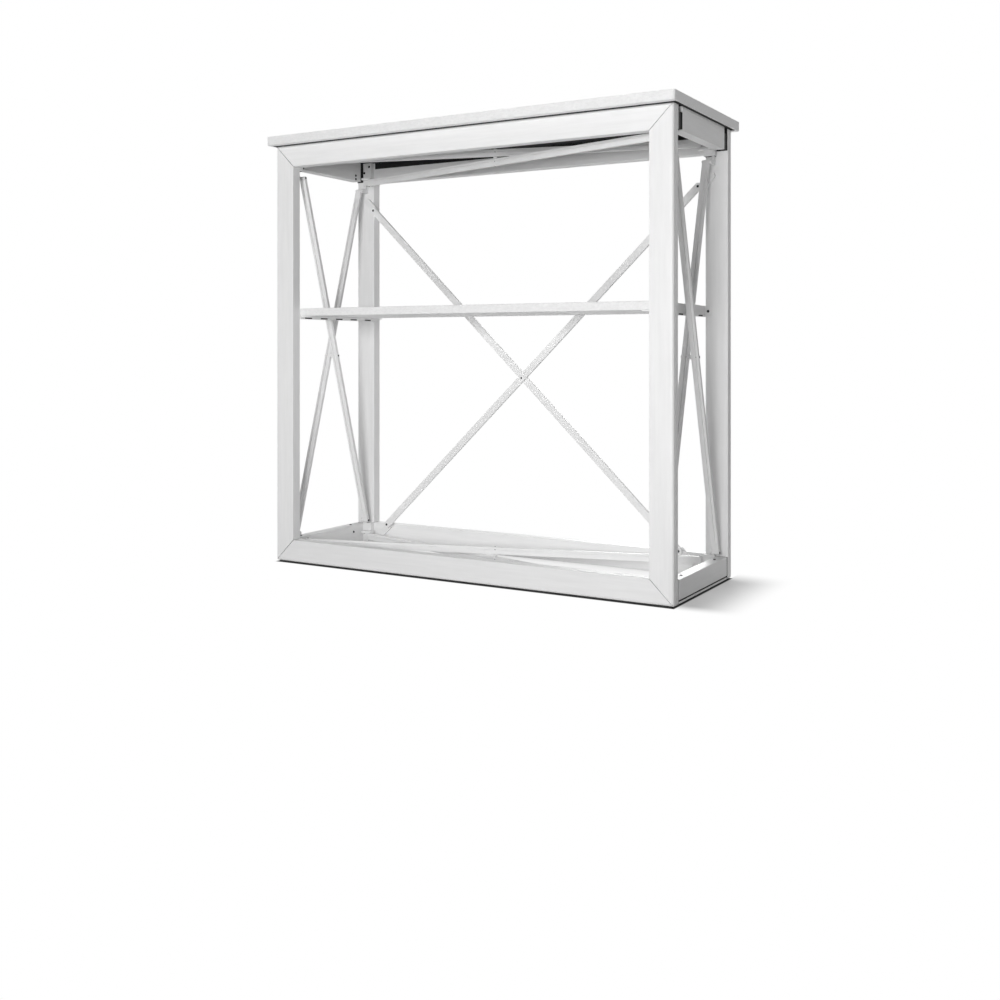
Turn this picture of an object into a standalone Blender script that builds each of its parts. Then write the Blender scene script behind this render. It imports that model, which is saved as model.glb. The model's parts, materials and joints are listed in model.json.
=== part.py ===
import math

import bmesh
import bpy
from mathutils import Matrix, Vector

# Standing frame, outside sizes in metres
FRAME_WIDTH = 1.000
FRAME_DEPTH = 0.344
FRAME_TOP = 0.982
FRAME_BASE = 0.003

# Gap between pieces that touch
GAP = 0.0003

# Extruded profile of the front and back frames
PROFILE_FACE = 0.051
PROFILE_DEPTH = 0.025
PROFILE_WALL = 0.0022
PROFILE_SOLID = 0.0085
OUTER_RADIUS = 0.0065
INNER_RADIUS = 0.0010

# Groove along the outer edge of each profile and along the outward face of each side rail
SLOT_WIDTH = 0.003
SLOT_DEPTH = 0.006
SLOT_SETBACK = 0.0075
SIDE_SLOT_SETBACK = 0.0045

# Keys inside the mitred corners
KEY_LEG = 0.085
KEY_WIDTH = 0.024

# Side rails that join the two frames
SIDE_RAIL_HEIGHT = 0.048
SIDE_RAIL_SOLID = 0.011
TOP_RAIL_END_GAP = 0.012
BOTTOM_RAIL_END_GAP = 0.0015

# Corner hubs
TOP_HUB_HEIGHT = 0.0585
BOTTOM_HUB_HEIGHT = 0.0505
HUB_THICKNESS = 0.0117
FLANGE_THICKNESS = 0.0025
TONGUE_LENGTH = 0.025
LUG_THICKNESS = 0.005
LUG_RADIUS = 0.005
LUG_INSET = 0.001
LUG_ROOT = 0.004
STUD_RADIUS = 0.0019
STUD_PROUD = 0.0012

# How far shapes of one solid run into each other, and how near points count as one
LAP = 0.002
MERGE = 0.000001

# Brace bars: on edge in the side, top and bottom braces, flat in the back brace
BAR_BROAD = 0.016
BAR_NARROW = 0.0075
BAR_CHAMFER = 0.0010
HOLE_CLEARANCE = 0.0003
PIN_CLEARANCE = 0.0001
PIN_RADIUS = 0.0020
PIN_HEAD_RADIUS = 0.0045
PIN_HEAD_HEIGHT = 0.0012

# Where the braces end, measured in from the frame
SIDE_BAR_INSET = 0.0332
SIDE_END_IN = 0.0225
SIDE_END_DROP = 0.072
SIDE_END_RISE = 0.059
LEVEL_END_SIDE = 0.054
LEVEL_END_IN = 0.025
TOP_SWING_DROP = 0.046
BOTTOM_SWING_RISE = 0.032

# Back brace and its brackets
BACK_UPPER_SIDE = 0.060
BACK_UPPER_DROP = 0.124
BACK_LOWER_SIDE = 0.108
BACK_LOWER_RISE = 0.053
BRACKET_THICKNESS = 0.0077
BRACKET_REACH = 0.034

# Tabletop
TOP_OVERHANG_SIDE = 0.011
TOP_OVERHANG_FRONT = 0.022
TOP_THICKNESS = 0.0197
TOP_CORNER_RADIUS = 0.006
TOP_EDGE_RADIUS = 0.0015

# Shelf and its supports
SHELF_UNDERSIDE = 0.5809
SHELF_THICKNESS = 0.0177
SHELF_SIDE_GAP = 0.0005
SHELF_BACK_GAP = 0.0044
SHELF_EDGE_RADIUS = 0.0008
SUPPORT_WALL = 0.002
SUPPORT_BELOW = 0.0075
SUPPORT_ABOVE = 0.0165
SUPPORT_LEDGE = 0.0022
SUPPORT_REACH = 0.025
SUPPORT_TAB = 0.015
SUPPORT_TAB_THICKNESS = 0.003
SUPPORT_TAB_INSET = 0.001
SUPPORT_SLOTS = 5
SUPPORT_SLOT_LENGTH = 0.026
SUPPORT_SLOT_HEIGHT = 0.0028

# Pads under the four posts
FOOT_LENGTH = 0.040
FOOT_WIDTH = 0.021
FOOT_RADIUS = 0.006

# Steps of round shapes, and the angles in degrees at which edges stay sharp or are chamfered
ARC_STEPS = 8
HOLE_STEPS = 16
TURN_STEPS = 24
OUTER_STEPS = 4
EASED_STEPS = 2
BOARD_EDGE_STEPS = 2
SHARP_ANGLE = 35
CHAMFER_ANGLE = 50

INNER_FACE = FRAME_DEPTH / 2 - PROFILE_DEPTH
HALF_WIDTH = FRAME_WIDTH / 2

for leftover in list(bpy.data.objects):
    bpy.data.objects.remove(leftover)

parts = bpy.data.collections.new("pop_up_counter")
bpy.context.scene.collection.children.link(parts)


def new_material(name, colour, roughness, metallic):
    made = bpy.data.materials.new(name)
    made.use_nodes = True
    shader = made.node_tree.nodes["Principled BSDF"]
    shader.inputs["Base Color"].default_value = (*colour, 1)
    shader.inputs["Roughness"].default_value = roughness
    shader.inputs["Metallic"].default_value = metallic
    made.diffuse_color = (*colour, 1)
    return made


COATED = new_material("white_coated_aluminium", (0.82, 0.82, 0.81), 0.45, 0.0)
PLASTIC = new_material("white_plastic", (0.80, 0.80, 0.79), 0.40, 0.0)
BOARD = new_material("white_board", (0.84, 0.84, 0.83), 0.50, 0.0)
METAL = new_material("plain_aluminium", (0.62, 0.63, 0.64), 0.35, 1.0)
STEEL = new_material("zinc_plated_steel", (0.55, 0.55, 0.56), 0.30, 1.0)
RUBBER = new_material("grey_rubber", (0.12, 0.12, 0.12), 0.80, 0.0)


def arc(centre_x, centre_y, radius, start, end, steps=ARC_STEPS):
    points = []
    for step in range(steps + 1):
        angle = math.radians(start + (end - start) * step / steps)
        points.append((centre_x + radius * math.cos(angle), centre_y + radius * math.sin(angle)))
    return points


def circle(centre_x, centre_y, radius):
    return arc(centre_x, centre_y, radius, 0, 360, HOLE_STEPS)[:-1]


def rectangle(left, right, low, high):
    return [(left, low), (right, low), (right, high), (left, high)]


def rounded_rectangle(left, right, low, high, radius):
    points = arc(left + radius, low + radius, radius, 180, 270)
    points += arc(right - radius, low + radius, radius, 270, 360)
    points += arc(right - radius, high - radius, radius, 0, 90)
    points += arc(left + radius, high - radius, radius, 90, 180)
    return points


def evaluated_mesh(holder):
    bpy.context.scene.collection.objects.link(holder)
    graph = bpy.context.evaluated_depsgraph_get()
    graph.update()
    return bpy.data.meshes.new_from_object(holder.evaluated_get(graph))


def tidy(mesh):
    work = bmesh.new()
    work.from_mesh(mesh)
    bmesh.ops.remove_doubles(work, verts=work.verts, dist=MERGE)
    bmesh.ops.recalc_face_normals(work, faces=work.faces)
    work.to_mesh(mesh)
    work.free()
    return mesh


# A flat outline with its holes, extruded along Z and centred on Z = 0
def prism(outline, holes, length):
    curve = bpy.data.curves.new("outline", "CURVE")
    curve.dimensions = "2D"
    curve.fill_mode = "BOTH"
    curve.extrude = length / 2
    for points in [outline] + holes:
        spline = curve.splines.new("POLY")
        spline.points.add(len(points) - 1)
        for target, (x, y) in zip(spline.points, points):
            target.co = (x, y, 0, 1)
        spline.use_cyclic_u = True
    holder = bpy.data.objects.new("outline", curve)
    mesh = evaluated_mesh(holder)
    bpy.data.objects.remove(holder)
    bpy.data.curves.remove(curve)
    return tidy(mesh)


# A profile of (radius, height) points turned about Z
def turned(profile):
    mesh = bpy.data.meshes.new("profile")
    points = [(radius, 0, height) for radius, height in profile]
    edges = [(index, index + 1) for index in range(len(profile) - 1)]
    mesh.from_pydata(points, edges, [])
    holder = bpy.data.objects.new("profile", mesh)
    screw = holder.modifiers.new("turn", "SCREW")
    screw.axis = "Z"
    screw.steps = TURN_STEPS
    screw.render_steps = TURN_STEPS
    screw.use_merge_vertices = True
    screw.merge_threshold = MERGE
    made = evaluated_mesh(holder)
    bpy.data.objects.remove(holder)
    return tidy(made)


def moved(mesh, matrix):
    mesh.transform(matrix)
    if matrix.determinant() < 0:
        mesh.flip_normals()
    return mesh


def axes_matrix(along_x, along_y, along_z, at=(0, 0, 0)):
    matrix = Matrix((along_x, along_y, along_z)).transposed().to_4x4()
    matrix.translation = Vector(at)
    return matrix


def mesh_from(work):
    mesh = bpy.data.meshes.new("shape")
    work.to_mesh(mesh)
    work.free()
    return mesh


def box(low, high):
    work = bmesh.new()
    bmesh.ops.create_cube(work, size=1)
    size = [top - base for base, top in zip(low, high)]
    middle = [(top + base) / 2 for base, top in zip(low, high)]
    return moved(mesh_from(work), Matrix.Translation(middle) @ Matrix.Diagonal((*size, 1)))


# A round rod between two heights, standing on Z
def rod(radius, low, high):
    work = bmesh.new()
    bmesh.ops.create_cone(
        work, cap_ends=True, segments=TURN_STEPS, radius1=radius, radius2=radius, depth=high - low
    )
    return moved(mesh_from(work), Matrix.Translation((0, 0, (low + high) / 2)))


# Several closed shapes made into one solid, less the shapes that are cut away
def union(meshes, cut_away=()):
    holders = [bpy.data.objects.new("shape", mesh) for mesh in [*meshes, *cut_away]]
    for index, holder in enumerate(holders[1:], 1):
        bpy.context.scene.collection.objects.link(holder)
        joined = holders[0].modifiers.new("join", "BOOLEAN")
        joined.operation = "UNION" if index < len(meshes) else "DIFFERENCE"
        joined.solver = "EXACT"
        joined.object = holder
    made = evaluated_mesh(holders[0])
    for holder in holders:
        bpy.data.objects.remove(holder)
    return tidy(made)


def place(name, mesh, material, matrix=None, chamfer=0.0, segments=1, smooth=False):
    mesh.name = name
    mesh.materials.clear()
    mesh.materials.append(material)
    for face in mesh.polygons:
        face.material_index = 0
        face.use_smooth = False
    made = bpy.data.objects.new(name, mesh)
    parts.objects.link(made)
    if matrix is not None:
        made.location = matrix.translation
        made.rotation_euler = matrix.to_euler()
    if smooth:
        mesh.shade_smooth()
        mesh.set_sharp_from_angle(angle=math.radians(SHARP_ANGLE))
    if chamfer:
        edge = made.modifiers.new("edges", "BEVEL")
        edge.width = chamfer
        edge.segments = segments
        edge.limit_method = "ANGLE"
        edge.angle_limit = math.radians(CHAMFER_ANGLE)
    return made


def eased_corner(centre_x, centre_y, start):
    return arc(centre_x, centre_y, INNER_RADIUS, start, start + 90, EASED_STEPS)


# Section of a frame member: x runs in from the outer edge, y runs in from the outward face
def frame_section():
    slot_end = SLOT_SETBACK + SLOT_WIDTH
    outline = arc(OUTER_RADIUS, OUTER_RADIUS, OUTER_RADIUS, 180, 270, OUTER_STEPS)
    outline += eased_corner(PROFILE_FACE - INNER_RADIUS, INNER_RADIUS, 270)
    outline += eased_corner(PROFILE_FACE - INNER_RADIUS, PROFILE_DEPTH - INNER_RADIUS, 0)
    outline += eased_corner(INNER_RADIUS, PROFILE_DEPTH - INNER_RADIUS, 90)
    outline += [(0, slot_end), (SLOT_DEPTH, slot_end), (SLOT_DEPTH, SLOT_SETBACK), (0, SLOT_SETBACK)]
    hollow = rectangle(PROFILE_SOLID, PROFILE_FACE - PROFILE_WALL, PROFILE_WALL, PROFILE_DEPTH - PROFILE_WALL)
    return outline, [hollow]


# Section of a side rail, with its groove in the outward face
def side_section():
    slot_start = SIDE_SLOT_SETBACK
    slot_end = slot_start + SLOT_WIDTH
    outline = eased_corner(INNER_RADIUS, INNER_RADIUS, 180)
    outline += [(slot_start, 0), (slot_start, SLOT_DEPTH), (slot_end, SLOT_DEPTH), (slot_end, 0)]
    outline += eased_corner(SIDE_RAIL_HEIGHT - INNER_RADIUS, INNER_RADIUS, 270)
    outline += eased_corner(SIDE_RAIL_HEIGHT - INNER_RADIUS, PROFILE_DEPTH - INNER_RADIUS, 0)
    outline += eased_corner(INNER_RADIUS, PROFILE_DEPTH - INNER_RADIUS, 90)
    hollow = rectangle(
        SIDE_RAIL_SOLID, SIDE_RAIL_HEIGHT - PROFILE_WALL, PROFILE_WALL, PROFILE_DEPTH - PROFILE_WALL
    )
    return outline, [hollow]


def mitred_member(length):
    outline, holes = frame_section()
    mesh = prism(outline, holes, length)
    for vertex in mesh.vertices:
        reach = length / 2 - vertex.co.x - GAP * math.sqrt(0.5)
        vertex.co.z = math.copysign(reach, vertex.co.z)
    return mesh


SIDES = {"left": -1, "right": 1}
FACES = {"front": -1, "back": 1}
LEVELS = {"bottom": -1, "top": 1}


def level_z(level):
    return FRAME_TOP if level > 0 else FRAME_BASE


# Front and back frames: four mitred members each
for face_name, face in FACES.items():
    inward = Vector((0, -face, 0))
    face_y = face * FRAME_DEPTH / 2
    for side_name, side in SIDES.items():
        across = Vector((-side, 0, 0))
        post_at = (side * HALF_WIDTH, face_y, (FRAME_TOP + FRAME_BASE) / 2)
        matrix = axes_matrix(across, inward, across.cross(inward), post_at)
        place(f"{face_name}_{side_name}_post", mitred_member(FRAME_TOP - FRAME_BASE), COATED, matrix)
    for level_name, level in LEVELS.items():
        across = Vector((0, 0, -level))
        matrix = axes_matrix(across, inward, across.cross(inward), (0, face_y, level_z(level)))
        place(f"{face_name}_{level_name}_rail", mitred_member(FRAME_WIDTH), COATED, matrix)


# Corner keys: an L in the hollows of the two members that meet
def corner_key():
    start = PROFILE_SOLID + GAP
    inner = start + KEY_WIDTH
    end = start + KEY_LEG
    outline = [(start, start), (end, start), (end, inner), (inner, inner), (inner, end), (start, end)]
    return prism(outline, [], PROFILE_DEPTH - 2 * (PROFILE_WALL + GAP))


for face_name, face in FACES.items():
    for level_name, level in LEVELS.items():
        for side_name, side in SIDES.items():
            mirror = Matrix(((-side, 0, 0), (0, 0, 1), (0, -level, 0))).to_4x4()
            key = moved(corner_key(), mirror)
            middle = face * (FRAME_DEPTH - PROFILE_DEPTH) / 2
            at = Matrix.Translation((side * HALF_WIDTH, middle, level_z(level)))
            place(f"{face_name}_{level_name}_{side_name}_corner_key", key, METAL, at)


# Side rails
rail_end_gap = {1: TOP_RAIL_END_GAP, -1: BOTTOM_RAIL_END_GAP}
for side_name, side in SIDES.items():
    for level_name, level in LEVELS.items():
        outline, holes = side_section()
        rail_half = INNER_FACE - GAP - FLANGE_THICKNESS - rail_end_gap[level]
        across = Vector((0, 0, -level))
        inward = Vector((-side, 0, 0))
        rail_z = level_z(level) - level * GAP
        matrix = axes_matrix(across, inward, across.cross(inward), (side * HALF_WIDTH, 0, rail_z))
        place(f"{side_name}_{level_name}_rail", prism(outline, holes, 2 * rail_half), COATED, matrix)


# Layers of the side braces, measured in from the outer side of the frame
inner_bar_start = SIDE_BAR_INSET
side_lug_end = inner_bar_start - GAP
side_lug_start = side_lug_end - LUG_THICKNESS
outer_bar_end = side_lug_start - GAP
inner_bar_middle = inner_bar_start + BAR_BROAD / 2
outer_bar_middle = outer_bar_end - BAR_BROAD / 2

# Layers of the top and bottom braces, measured in from the top or the base of the frame
level_start = {1: TOP_SWING_DROP, -1: BOTTOM_SWING_RISE}
level_end_drop = {1: SIDE_END_DROP, -1: SIDE_END_RISE}


# A hub in distances from the corner: in from the side, in from the frame, in from the top or base
def corner_hub(level, inner_bar):
    face_end = GAP + HUB_THICKNESS
    flange_end = GAP + FLANGE_THICKNESS
    hub_height = TOP_HUB_HEIGHT if level > 0 else BOTTOM_HUB_HEIGHT
    block = box((PROFILE_DEPTH + GAP, GAP, GAP), (PROFILE_FACE - GAP, face_end, hub_height))
    flange = box((GAP, 2 * GAP, 2 * GAP), (PROFILE_DEPTH + LAP, flange_end, SIDE_RAIL_HEIGHT))
    wall = PROFILE_WALL + GAP
    tongue_end = flange_end + rail_end_gap[level] + TONGUE_LENGTH
    tongue = box(
        (wall, flange_end - LAP / 2, GAP + SIDE_RAIL_SOLID + GAP),
        (PROFILE_DEPTH - wall, tongue_end, SIDE_RAIL_HEIGHT - PROFILE_WALL),
    )

    drop = level_end_drop[level]
    root = hub_height - LUG_ROOT
    outline = [(LUG_INSET, drop + LUG_RADIUS), (LUG_INSET, root), (face_end - LUG_INSET, root)]
    outline += [(face_end - LUG_INSET, drop - LUG_RADIUS)]
    outline += arc(SIDE_END_IN, drop, LUG_RADIUS, -90, 90)
    lug_middle = (side_lug_start + side_lug_end) / 2
    to_side = axes_matrix((0, 1, 0), (0, 0, 1), (1, 0, 0), (lug_middle, 0, 0))
    side_lug = moved(prism(outline, [], LUG_THICKNESS), to_side)
    reach = LUG_THICKNESS / 2 + GAP + BAR_BROAD + STUD_PROUD
    stud = rod(STUD_RADIUS, 0, reach) if inner_bar else rod(STUD_RADIUS, -reach, 0)
    to_stud = axes_matrix((0, 1, 0), (0, 0, 1), (1, 0, 0), (lug_middle, SIDE_END_IN, drop))
    side_stud = moved(stud, to_stud)

    lug_end = level_start[level] - GAP
    lug_middle = lug_end - LUG_THICKNESS / 2
    outline = [(side_lug_end, face_end - LAP), (LEVEL_END_SIDE + LUG_RADIUS, face_end - LAP)]
    outline += arc(LEVEL_END_SIDE, LEVEL_END_IN, LUG_RADIUS, 0, 90)
    outline += [(side_lug_end, LEVEL_END_IN + LUG_RADIUS)]
    level_lug = moved(prism(outline, [], LUG_THICKNESS), Matrix.Translation((0, 0, lug_middle)))
    stud = rod(STUD_RADIUS, -reach, 0) if inner_bar else rod(STUD_RADIUS, 0, reach)
    level_stud = moved(stud, Matrix.Translation((LEVEL_END_SIDE, LEVEL_END_IN, lug_middle)))
    return union([block, flange, tongue, side_lug, side_stud, level_lug, level_stud])


# A corner that carries the inner bar of its side brace carries the fixed bar of its level brace
for face_name, face in FACES.items():
    for level_name, level in LEVELS.items():
        for side_name, side in SIDES.items():
            hub = corner_hub(level, side * face * level > 0)
            mirror = Matrix(((-side, 0, 0), (0, -face, 0), (0, 0, -level))).to_4x4()
            at = Matrix.Translation((side * HALF_WIDTH, face * INNER_FACE, level_z(level)))
            place(f"{face_name}_{level_name}_{side_name}_hub", moved(hub, mirror), PLASTIC, at, smooth=True)


# A bar along X about its pivot; a hooked bar lets go of its studs when it turns about +Z
def brace_bar(width, thickness, back_reach, fore_reach, hooked):
    half = width / 2
    pivot = circle(0, 0, PIN_RADIUS + PIN_CLEARANCE)
    hole = STUD_RADIUS + HOLE_CLEARANCE
    if not hooked:
        outline = arc(fore_reach, 0, half, -90, 90) + arc(-back_reach, 0, half, 90, 270)
        holes = [pivot, circle(fore_reach, 0, hole), circle(-back_reach, 0, hole)]
        return prism(outline, holes, thickness)
    tip = math.degrees(math.acos(hole / half))
    outline = [(fore_reach - hole, -half)]
    outline += arc(fore_reach, 0, hole, 180, 0)
    outline += arc(fore_reach, 0, half, -tip, 90)
    outline += [(hole - back_reach, half)]
    outline += arc(-back_reach, 0, hole, 0, -180)
    outline += arc(-back_reach, 0, half, 180 - tip, 270)
    return prism(outline, [pivot], thickness)


# A pin with a head at each end, and a collar that keeps the two bars apart
def pivot_pin(low, high, collar):
    head_low = low - GAP
    head_high = high + GAP
    profile = [(0, head_low - PIN_HEAD_HEIGHT), (PIN_HEAD_RADIUS, head_low - PIN_HEAD_HEIGHT)]
    profile += [(PIN_HEAD_RADIUS, head_low), (PIN_RADIUS, head_low)]
    if collar:
        profile += [(PIN_RADIUS, -collar / 2), (PIN_HEAD_RADIUS, -collar / 2)]
        profile += [(PIN_HEAD_RADIUS, collar / 2), (PIN_RADIUS, collar / 2)]
    profile += [(PIN_RADIUS, head_high), (PIN_HEAD_RADIUS, head_high)]
    profile += [(PIN_HEAD_RADIUS, head_high + PIN_HEAD_HEIGHT), (0, head_high + PIN_HEAD_HEIGHT)]
    return turned(profile)


def turned_about(matrix, angle, along):
    return matrix @ Matrix.Translation((0, 0, along)) @ Matrix.Rotation(angle, 4, "Z")


# A brace about its own axis: the swing bar turns towards the fixed bar
def scissor_brace(name, matrix, reach_x, reach_y, swing_along, fixed_along):
    reach = math.hypot(reach_x, reach_y)
    angle = math.atan2(reach_y, reach_x)
    swing = turned_about(matrix, angle, swing_along)
    fixed = turned_about(matrix, math.pi - angle, fixed_along)
    hooked_bar = brace_bar(BAR_NARROW, BAR_BROAD, reach, reach, True)
    plain_bar = brace_bar(BAR_NARROW, BAR_BROAD, reach, reach, False)
    place(f"{name}_brace_swing_bar", hooked_bar, COATED, swing, BAR_CHAMFER)
    place(f"{name}_brace_fixed_bar", plain_bar, COATED, fixed, BAR_CHAMFER)
    low = min(swing_along, fixed_along) - BAR_BROAD / 2
    high = max(swing_along, fixed_along) + BAR_BROAD / 2
    centre = (low + high) / 2
    pin = pivot_pin(low - centre, high - centre, LUG_THICKNESS)
    place(f"{name}_brace_pivot_pin", pin, STEEL, matrix @ Matrix.Translation((0, 0, centre)), smooth=True)


# Side braces: the axis points outwards
side_reach_y = INNER_FACE - SIDE_END_IN
side_top = FRAME_TOP - SIDE_END_DROP
side_base = FRAME_BASE + SIDE_END_RISE
for side_name, side in SIDES.items():
    at = (0, 0, (side_top + side_base) / 2)
    matrix = axes_matrix((0, side, 0), (0, 0, 1), (side, 0, 0), at)
    inner_at = HALF_WIDTH - inner_bar_middle
    outer_at = HALF_WIDTH - outer_bar_middle
    scissor_brace(side_name, matrix, side_reach_y, (side_top - side_base) / 2, inner_at, outer_at)

# Top and bottom braces: the axis points away from the middle of the counter
level_reach_x = HALF_WIDTH - LEVEL_END_SIDE
level_reach_y = INNER_FACE - LEVEL_END_IN
for level_name, level in LEVELS.items():
    swing_middle = level_start[level] + BAR_BROAD / 2
    fixed_middle = level_start[level] - LUG_THICKNESS - 2 * GAP - BAR_BROAD / 2
    matrix = axes_matrix((1, 0, 0), (0, level, 0), (0, 0, level))
    swing_along = level * level_z(level) - swing_middle
    fixed_along = level * level_z(level) - fixed_middle
    scissor_brace(level_name, matrix, level_reach_x, -level_reach_y, swing_along, fixed_along)

# Back brace: two bars held at both ends, crossing at one pin
upper_x = HALF_WIDTH - BACK_UPPER_SIDE
lower_x = HALF_WIDTH - BACK_LOWER_SIDE
upper_z = FRAME_TOP - BACK_UPPER_DROP
lower_z = FRAME_BASE + BACK_LOWER_RISE
rear_bar_back = INNER_FACE - 2 * GAP - BRACKET_THICKNESS
rear_bar_middle = rear_bar_back - BAR_NARROW / 2
front_bar_middle = rear_bar_middle - BAR_NARROW - GAP
back_rise = upper_z - lower_z
back_run = upper_x + lower_x
back_pivot_z = lower_z + back_rise * lower_x / back_run
upper_reach = math.hypot(upper_x, upper_z - back_pivot_z)
lower_reach = math.hypot(lower_x, back_pivot_z - lower_z)
back_angle = math.atan2(back_rise, back_run)
for name, side, bar_y in (("rising", 1, front_bar_middle), ("falling", -1, rear_bar_middle)):
    matrix = axes_matrix((side, 0, 0), (0, 0, 1), (0, -side, 0), (0, bar_y, back_pivot_z))
    bar = brace_bar(BAR_BROAD, BAR_NARROW, lower_reach, upper_reach, False)
    place(f"back_brace_{name}_bar", bar, COATED, turned_about(matrix, back_angle, 0), BAR_CHAMFER)
pin_y = (front_bar_middle + rear_bar_middle) / 2
pin_half = (rear_bar_middle - front_bar_middle + BAR_NARROW) / 2
matrix = axes_matrix((1, 0, 0), (0, 0, 1), (0, -1, 0), (0, pin_y, back_pivot_z))
place("back_brace_pivot_pin", pivot_pin(-pin_half, pin_half, 0), STEEL, matrix, smooth=True)


# A plate on the frame that carries on the line of one bar, with a stud at the bar's end
def brace_bracket(bar_middle):
    face_y = INNER_FACE - GAP
    half = BAR_BROAD / 2
    plate = arc(BRACKET_REACH, 0, half, -90, 90) + arc(0, 0, half, 90, 270)
    plate_y = face_y - BRACKET_THICKNESS / 2
    plate_front = face_y - BRACKET_THICKNESS
    shapes = [moved(prism(plate, [], BRACKET_THICKNESS), Matrix.Translation((0, 0, -plate_y)))]
    bar_back = bar_middle + BAR_NARROW / 2
    if bar_back < plate_front - 2 * GAP:
        shapes.append(rod(half - BAR_CHAMFER, -plate_y, -bar_back - GAP))
    shapes.append(rod(STUD_RADIUS, -plate_y, BAR_NARROW + STUD_PROUD - bar_back))
    return union(shapes)


for side_name, side in SIDES.items():
    for level_name, level in LEVELS.items():
        rising = side * level > 0
        bracket = brace_bracket(front_bar_middle if rising else rear_bar_middle)
        at = (side * upper_x, 0, upper_z) if level > 0 else (side * lower_x, 0, lower_z)
        upright = axes_matrix((1, 0, 0), (0, 0, 1), (0, -1, 0), at)
        outward = math.atan2(level * back_rise, side * back_run)
        matrix = upright @ Matrix.Rotation(outward, 4, "Z")
        place(f"back_brace_{level_name}_{side_name}_bracket", bracket, PLASTIC, matrix, smooth=True)

# Tabletop, laid on the two frames
top_x = HALF_WIDTH + TOP_OVERHANG_SIDE
top_y = FRAME_DEPTH / 2 + TOP_OVERHANG_FRONT
top_mesh = prism(rounded_rectangle(-top_x, top_x, -top_y, top_y, TOP_CORNER_RADIUS), [], TOP_THICKNESS)
top_at = Matrix.Translation((0, 0, FRAME_TOP + GAP + TOP_THICKNESS / 2))
place("tabletop", top_mesh, BOARD, top_at, TOP_EDGE_RADIUS, BOARD_EDGE_STEPS)

# Shelf, laid on the ledges of its two supports
opening_half = HALF_WIDTH - PROFILE_FACE
support_face = opening_half - SUPPORT_WALL
shelf_x = support_face - SHELF_SIDE_GAP
shelf_front = -INNER_FACE + 2 * GAP
shelf_back = front_bar_middle - BAR_NARROW / 2 - SHELF_BACK_GAP
shelf_mesh = box((-shelf_x, shelf_front, 0), (shelf_x, shelf_back, SHELF_THICKNESS))
shelf_at = Matrix.Translation((0, 0, SHELF_UNDERSIDE))
place("shelf", shelf_mesh, BOARD, shelf_at, SHELF_EDGE_RADIUS, BOARD_EDGE_STEPS)


# A slotted web with a ledge inside and a tab on each post, drawn about the shelf's underside
def shelf_support(side):
    end = INNER_FACE - GAP
    ledge_top = -GAP
    ledge_low = ledge_top - SUPPORT_LEDGE
    slot_high = ledge_low - (SUPPORT_BELOW - SUPPORT_LEDGE - SUPPORT_SLOT_HEIGHT) / 2
    slot_low = slot_high - SUPPORT_SLOT_HEIGHT
    lap = SUPPORT_WALL / 2
    slots = []
    for index in range(SUPPORT_SLOTS):
        middle = 2 * end * ((index + 0.5) / SUPPORT_SLOTS - 0.5)
        half = SUPPORT_SLOT_LENGTH / 2
        slot_from = (support_face - SUPPORT_WALL, middle - half, slot_low)
        slot_to = (opening_half + lap, middle + half, slot_high)
        slots.append(box(slot_from, slot_to))
    low = -SUPPORT_BELOW - GAP
    web_end = end - SUPPORT_TAB_THICKNESS / 2
    ledge_end = end - SUPPORT_TAB_THICKNESS
    shapes = [box((support_face, -web_end, low), (opening_half, web_end, SUPPORT_ABOVE))]
    ledge_in = support_face - SUPPORT_REACH
    shapes.append(box((ledge_in, -ledge_end, ledge_low), (support_face + lap, ledge_end, ledge_top)))
    tab_low = low + SUPPORT_TAB_INSET
    tab_high = SUPPORT_ABOVE - SUPPORT_TAB_INSET
    for tab_end in (-1, 1):
        ys = sorted((tab_end * end, tab_end * (end - SUPPORT_TAB_THICKNESS)))
        tab_x = support_face + SUPPORT_TAB
        shapes.append(box((support_face + lap, ys[0], tab_low), (tab_x, ys[1], tab_high)))
    mirror = Matrix.Diagonal((side, 1, 1, 1))
    return moved(union(shapes, slots), mirror)


for side_name, side in SIDES.items():
    support_at = Matrix.Translation((0, 0, SHELF_UNDERSIDE))
    place(f"{side_name}_shelf_support", shelf_support(side), COATED, support_at)

# Pads under the posts
for face_name, face in FACES.items():
    for side_name, side in SIDES.items():
        pad = rounded_rectangle(
            -FOOT_LENGTH / 2, FOOT_LENGTH / 2, -FOOT_WIDTH / 2, FOOT_WIDTH / 2, FOOT_RADIUS
        )
        height = FRAME_BASE - GAP
        pad_x = side * (HALF_WIDTH - PROFILE_FACE / 2)
        pad_y = face * (FRAME_DEPTH - PROFILE_DEPTH) / 2
        at = Matrix.Translation((pad_x, pad_y, height / 2))
        place(f"{face_name}_{side_name}_foot", prism(pad, [], height), RUBBER, at)
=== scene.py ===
import json
import math

import bmesh
import bpy
from mathutils import Matrix, Vector


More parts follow.
